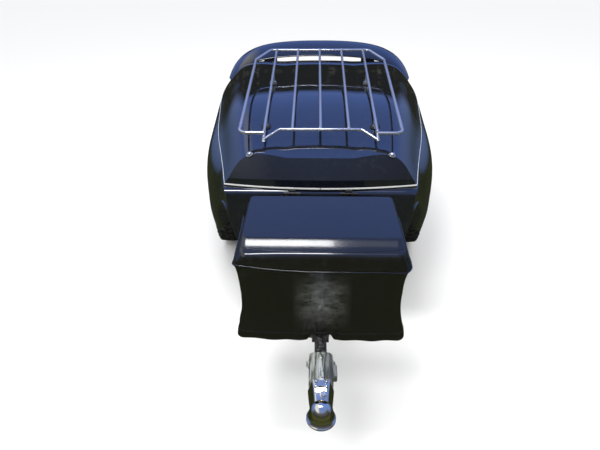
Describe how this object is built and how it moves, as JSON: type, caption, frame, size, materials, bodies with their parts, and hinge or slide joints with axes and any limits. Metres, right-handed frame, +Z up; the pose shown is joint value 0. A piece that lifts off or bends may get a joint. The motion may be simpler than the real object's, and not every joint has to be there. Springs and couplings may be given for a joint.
{
  "type": "motorcycle trailer",
  "caption": "Small single-axle pull-behind cargo trailer with moulded tub, hinged lid, luggage rack, rear spoiler and a covered cooler on the tongue.",
  "frame": {"origin": "on the floor, at the middle of the trailer's length and width", "axes": "+X to the right of someone who looks at the trailer from the front, +Y to the rear, +Z up"},
  "size_m": [1.0782, 2.2, 0.9247],
  "materials": {
    "gloss_body": "polished black moulded glass fibre",
    "bright_trim": "bright silver strip",
    "rack_chrome": "polished chrome",
    "satin_black": "satin black",
    "red_lens": "red lens",
    "blank_plate": "blank white plate",
    "frame_paint": "black paint",
    "tyre_rubber": "black rubber",
    "wheel_alloy": "machined alloy",
    "hub_steel": "plated steel",
    "coupler_chrome": "chrome plate",
    "cooler_plastic": "moulded plastic",
    "cover_vinyl": "glossy black vinyl"
  },
  "bodies": {
    "trailer": {"tongue": "frame_paint", "tongue_boss": "frame_paint", "frame_rail_left": "frame_paint", "frame_rail_right": "frame_paint", "cross_member_front": "frame_paint", "cross_member_middle": "frame_paint", "cross_member_rear": "frame_paint", "axle_beam": "frame_paint", "axle_brackets": "frame_paint", "torsion_arm_left": "frame_paint", "torsion_arm_right": "frame_paint", "tub": "gloss_body", "hinge_bases": "satin_black", "lid_latch": "satin_black", "lamp_bezel_left": "satin_black", "lamp_bezel_right": "satin_black", "tail_lamp_left": "red_lens", "tail_lamp_right": "red_lens", "plate_bracket": "satin_black", "plate": "blank_plate", "leg_bracket": "frame_paint", "cooler_platform": "satin_black", "cooler_box": "cooler_plastic", "cooler_cover": "cover_vinyl"},
    "lid": {"lid": "gloss_body", "lid_seal": "bright_trim", "hinge_leaves": "satin_black", "spoiler": "gloss_body", "rack_frame": "rack_chrome", "rack_bars": "rack_chrome", "rack_feet": "rack_chrome"},
    "wheel_left": {"tyre_left": "tyre_rubber", "rim_left": "wheel_alloy", "hub_left": "hub_steel"},
    "wheel_right": {"tyre_right": "tyre_rubber", "rim_right": "wheel_alloy", "hub_right": "hub_steel"},
    "coupler": {"coupler_shaft": "frame_paint", "coupler_housing": "coupler_chrome", "coupler_latch": "coupler_chrome"},
    "leg": {"parking_leg": "frame_paint"}
  },
  "joints": [
    {"name": "wheel_left_spin", "type": "hinge", "parent": "trailer", "child": "wheel_left", "pos_m": [-0.442, 0.424, 0.2665], "axis": [1, 0, 0], "continuous": true},
    {"name": "wheel_right_spin", "type": "hinge", "parent": "trailer", "child": "wheel_right", "pos_m": [0.442, 0.424, 0.2665], "axis": [1, 0, 0], "continuous": true},
    {"name": "lid_hinge", "type": "hinge", "parent": "trailer", "child": "lid", "pos_m": [0, -0.3155, 0.641], "axis": [1, 0, 0], "range_deg": [0, 60]},
    {"name": "coupler_swivel", "type": "hinge", "parent": "trailer", "child": "coupler", "pos_m": [0, -0.81, 0.4196], "axis": [0, 1, 0], "continuous": true},
    {"name": "parking_leg_fold", "type": "hinge", "parent": "trailer", "child": "leg", "pos_m": [0, -0.3, 0.362], "axis": [1, 0, 0], "range_deg": [0, 90]}
  ]
}
